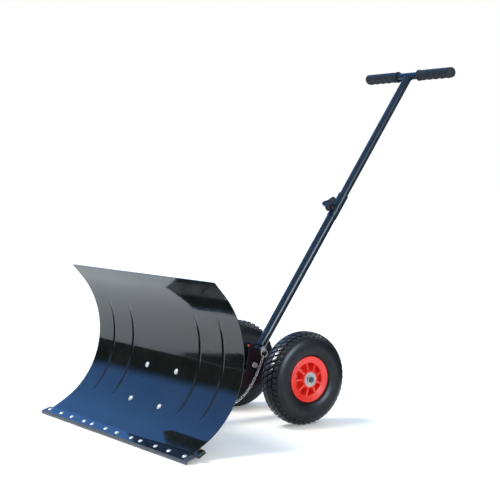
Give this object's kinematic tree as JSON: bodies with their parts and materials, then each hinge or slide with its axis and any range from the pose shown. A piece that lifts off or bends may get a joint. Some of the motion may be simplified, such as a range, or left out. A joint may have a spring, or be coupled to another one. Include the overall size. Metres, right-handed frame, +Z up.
{
  "type": "wheeled snow shovel",
  "caption": "Wide curved snow pusher blade on a two-wheeled chassis with pneumatic tyres, pushed by a telescoping pole with a T-handle; the blade swings to either side.",
  "frame": {"origin": "on the ground under the middle of the bounding box; the axle runs across 13 mm in front of it, 130 mm up", "axes": "+X from the tool's left to its right along the axle, +Y backwards towards the user so the blade faces -Y, +Z up"},
  "size_m": [0.779, 1.0816, 1.0157],
  "materials": {
    "blade_paint": "gloss black paint",
    "strip_paint": "satin dark grey paint, worn along the edge",
    "frame_paint": "satin black paint",
    "tube_paint": "gloss blue-black paint",
    "zinc": "bright zinc plate",
    "axle_steel": "dark oiled steel",
    "bearing_steel": "ground steel",
    "tyre_rubber": "matte tread, satin sidewall",
    "inner_tube_rubber": "matte",
    "rim_plastic": "gloss moulded red plastic",
    "grip_rubber": "matte moulded rubber",
    "knob_plastic": "satin moulded plastic"
  },
  "bodies": {
    "chassis": {"arm": "frame_paint", "kingpin_boss": "frame_paint", "kingpin": "zinc", "kingpin_nut": "zinc", "swing_clamp_bolt": "zinc", "swing_clamp_nut": "zinc", "axle_tube": "frame_paint", "axle_shaft": "axle_steel", "axle_washers": "zinc", "axle_circlips": "zinc", "pole_bracket": "frame_paint", "pivot_bolt": "zinc", "pivot_nut": "zinc", "chain_anchor": "zinc", "chain": "zinc"},
    "blade": {"blade_sheet": "blade_paint", "wear_strip": "strip_paint", "stiffener_bar": "blade_paint", "strip_bolts": "zinc", "strip_nuts": "zinc", "mount_strap_left": "frame_paint", "mount_strap_right": "frame_paint", "mount_bolts": "zinc", "mount_nuts": "zinc", "yoke_top_plate": "frame_paint", "yoke_bottom_plate": "frame_paint"},
    "wheel_left": {"tyre_left": "tyre_rubber", "inner_tube_left": "inner_tube_rubber", "rim_outer_left": "rim_plastic", "rim_inner_left": "rim_plastic", "rim_screws_left": "zinc", "bearings_left": "bearing_steel"},
    "wheel_right": {"tyre_right": "tyre_rubber", "inner_tube_right": "inner_tube_rubber", "rim_outer_right": "rim_plastic", "rim_inner_right": "rim_plastic", "rim_screws_right": "zinc", "bearings_right": "bearing_steel"},
    "pole": {"lower_tube": "tube_paint", "clamp_collar": "tube_paint", "tilt_bolt": "zinc", "tilt_nut": "zinc", "chain_ring": "zinc"},
    "handle": {"upper_tube": "tube_paint", "crossbar": "tube_paint", "grip_left": "grip_rubber", "grip_right": "grip_rubber"},
    "knob": {"knob_body": "knob_plastic", "knob_stud": "zinc"}
  },
  "joints": [
    {"name": "wheel_left_spin", "type": "hinge", "parent": "chassis", "child": "wheel_left", "pos_m": [-0.1629, -0.01333, 0.13], "axis": [1, 0, 0], "continuous": true},
    {"name": "wheel_right_spin", "type": "hinge", "parent": "chassis", "child": "wheel_right", "pos_m": [0.1629, -0.01333, 0.13], "axis": [1, 0, 0], "continuous": true},
    {"name": "blade_swing", "type": "hinge", "parent": "chassis", "child": "blade", "pos_m": [0, -0.31333, 0.114], "axis": [0, 0, 1], "range_deg": [-30, 30]},
    {"name": "pole_tilt", "type": "hinge", "parent": "chassis", "child": "pole", "pos_m": [0, -0.07533, 0.1527], "axis": [1, 0, 0], "range_deg": [-20, 30], "deforming": ["chain"]},
    {"name": "handle_height", "type": "slide", "parent": "pole", "child": "handle", "axis": [0, 0.5779, 0.8161], "range_m": [-0.25, 0.15]},
    {"name": "knob_turn", "type": "hinge", "parent": "pole", "child": "knob", "pos_m": [0, 0.20876, 0.60585], "axis": [0, -0.8161, 0.5779], "range_deg": [0, 360]}
  ]
}
